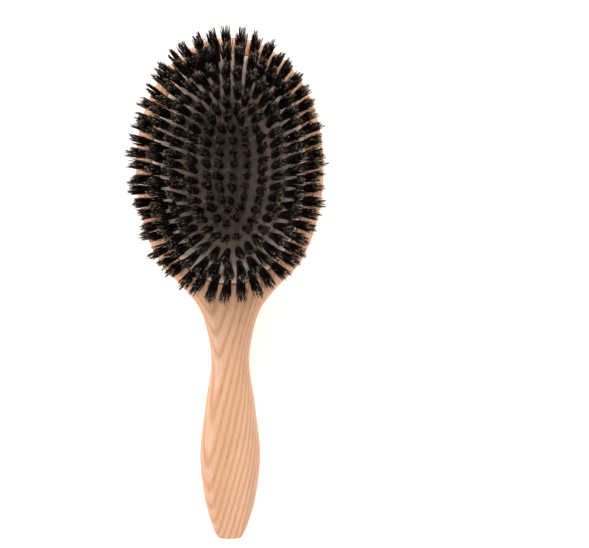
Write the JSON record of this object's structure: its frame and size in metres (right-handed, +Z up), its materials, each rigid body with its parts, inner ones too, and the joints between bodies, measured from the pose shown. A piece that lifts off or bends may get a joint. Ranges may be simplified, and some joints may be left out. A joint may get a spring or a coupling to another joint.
{
  "type": "vanity hairbrush",
  "caption": "Oval cushion hairbrush with a one-piece ash body, a domed rubber pad and dark bristle tufts in oval rings.",
  "frame": {"origin": "under the middle of the brush, on the surface that its back rests on", "axes": "+Z up, out of the bristle tips; +Y along the handle to the crown of the head; +X across the head"},
  "size_m": [0.0946, 0.2421, 0.0478],
  "materials": {
    "ash": "oiled, satin",
    "rubber": "matte natural latex",
    "cloth": "cotton drill, matte",
    "bristle": "black boar bristle, low sheen",
    "wire": "drawn wire"
  },
  "bodies": {
    "brush_frame": {"brush_body": "ash", "cushion_pad": "rubber", "backing_cloth": "cloth"},
    "ring_1": {"tufts_ring_1": "bristle", "anchors_ring_1": "wire"},
    "ring_2": {"tufts_ring_2": "bristle", "anchors_ring_2": "wire"},
    "ring_3": {"tufts_ring_3": "bristle", "anchors_ring_3": "wire"},
    "ring_4": {"tufts_ring_4": "bristle", "anchors_ring_4": "wire"},
    "ring_5": {"tufts_ring_5": "bristle", "anchors_ring_5": "wire"},
    "ring_6": {"tufts_ring_6": "bristle", "anchors_ring_6": "wire"}
  },
  "joints": [
    {"name": "cushion_press", "type": "slide", "parent": "brush_frame", "child": "ring_1", "axis": [0, 0, -1], "range_m": [0, 0.005], "stiffness_N_per_m": 3000, "springref_m": -0.0005, "deforming": ["cushion_pad", "backing_cloth"]},
    {"name": "ring_2_press", "type": "slide", "parent": "brush_frame", "child": "ring_2", "axis": [0, 0, -1], "range_m": [0, 0.00494]},
    {"name": "ring_3_press", "type": "slide", "parent": "brush_frame", "child": "ring_3", "axis": [0, 0, -1], "range_m": [0, 0.00466]},
    {"name": "ring_4_press", "type": "slide", "parent": "brush_frame", "child": "ring_4", "axis": [0, 0, -1], "range_m": [0, 0.00403]},
    {"name": "ring_5_press", "type": "slide", "parent": "brush_frame", "child": "ring_5", "axis": [0, 0, -1], "range_m": [0, 0.00291]},
    {"name": "ring_6_press", "type": "slide", "parent": "brush_frame", "child": "ring_6", "axis": [0, 0, -1], "range_m": [0, 0.00115]}
  ],
  "couplings": [
    {"joint": "ring_2_press", "follows": "cushion_press", "ratio": 0.9851},
    {"joint": "ring_3_press", "follows": "cushion_press", "ratio": 0.9284},
    {"joint": "ring_4_press", "follows": "cushion_press", "ratio": 0.8018},
    {"joint": "ring_5_press", "follows": "cushion_press", "ratio": 0.5773},
    {"joint": "ring_6_press", "follows": "cushion_press", "ratio": 0.227}
  ]
}
